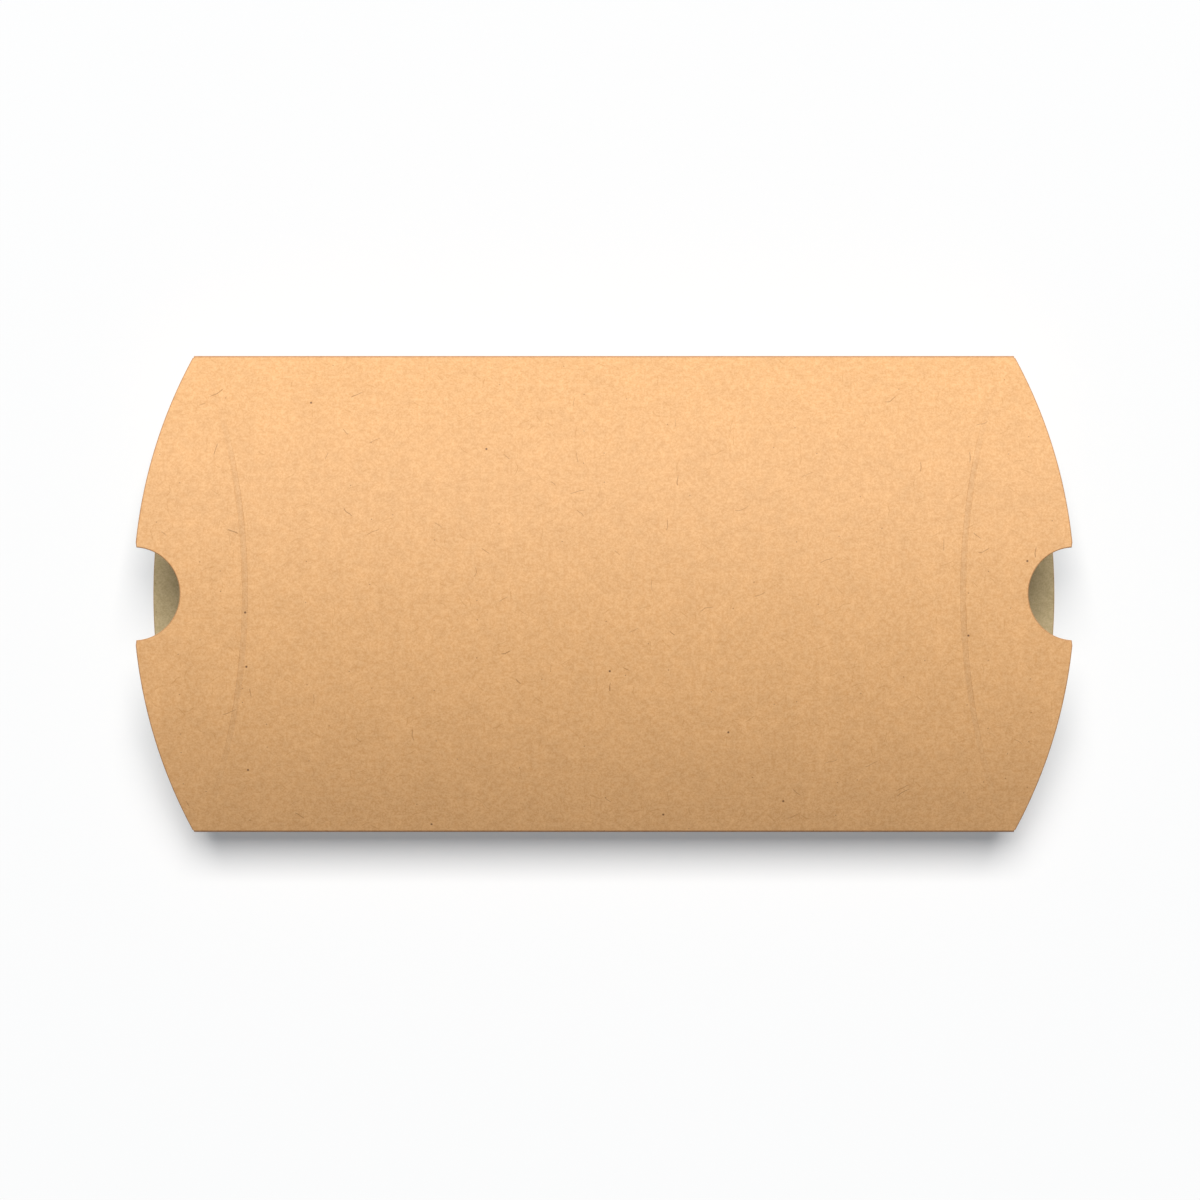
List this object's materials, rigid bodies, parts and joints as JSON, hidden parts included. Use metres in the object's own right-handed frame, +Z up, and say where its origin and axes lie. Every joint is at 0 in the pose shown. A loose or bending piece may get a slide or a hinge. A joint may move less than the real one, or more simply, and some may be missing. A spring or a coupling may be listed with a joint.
{
  "type": "pillow box",
  "caption": "Plain kraft paperboard pillow box with bowed panels, straight side folds, curved scores and open end flaps with thumb notches.",
  "frame": {"origin": "centre of the footprint, on the surface that the lower panel rests on", "axes": "+X along the tube towards one open end, +Y across it towards the glued seam, +Z up through the upper panel"},
  "size_m": [0.1838, 0.095, 0.0235],
  "materials": {
    "kraft_board": "matte unbleached kraft paperboard",
    "glue": "thin dried carton glue"
  },
  "bodies": {
    "tube": {"upper_panel": "kraft_board", "lower_panel": "kraft_board", "upper_left_crease": "kraft_board", "upper_right_crease": "kraft_board", "lower_left_crease": "kraft_board", "lower_right_crease": "kraft_board", "side_fold": "kraft_board", "seam_fold": "kraft_board", "glue_tab": "kraft_board", "glue_line": "glue"},
    "upper_right": {"upper_right_flap": "kraft_board", "upper_right_flap_wings": "kraft_board"},
    "upper_left": {"upper_left_flap": "kraft_board", "upper_left_flap_wings": "kraft_board"},
    "lower_right": {"lower_right_flap": "kraft_board", "lower_right_flap_wings": "kraft_board"},
    "lower_left": {"lower_left_flap": "kraft_board", "lower_left_flap_wings": "kraft_board"}
  },
  "joints": [
    {"name": "upper_right_flap_fold", "type": "hinge", "parent": "tube", "child": "upper_right", "pos_m": [0.07005, 0, 0.0233], "axis": [0, 1, 0], "range_deg": [0, 87], "deforming": ["upper_right_flap_wings"]},
    {"name": "upper_left_flap_fold", "type": "hinge", "parent": "tube", "child": "upper_left", "pos_m": [-0.07005, 0, 0.0233], "axis": [0, -1, 0], "range_deg": [0, 87], "deforming": ["upper_left_flap_wings"]},
    {"name": "lower_right_flap_fold", "type": "hinge", "parent": "tube", "child": "lower_right", "pos_m": [0.07005, 0, 0.0002], "axis": [0, -1, 0], "range_deg": [0, 98], "deforming": ["lower_right_flap_wings"]},
    {"name": "lower_left_flap_fold", "type": "hinge", "parent": "tube", "child": "lower_left", "pos_m": [-0.07005, 0, 0.0002], "axis": [0, 1, 0], "range_deg": [0, 98], "deforming": ["lower_left_flap_wings"]}
  ]
}
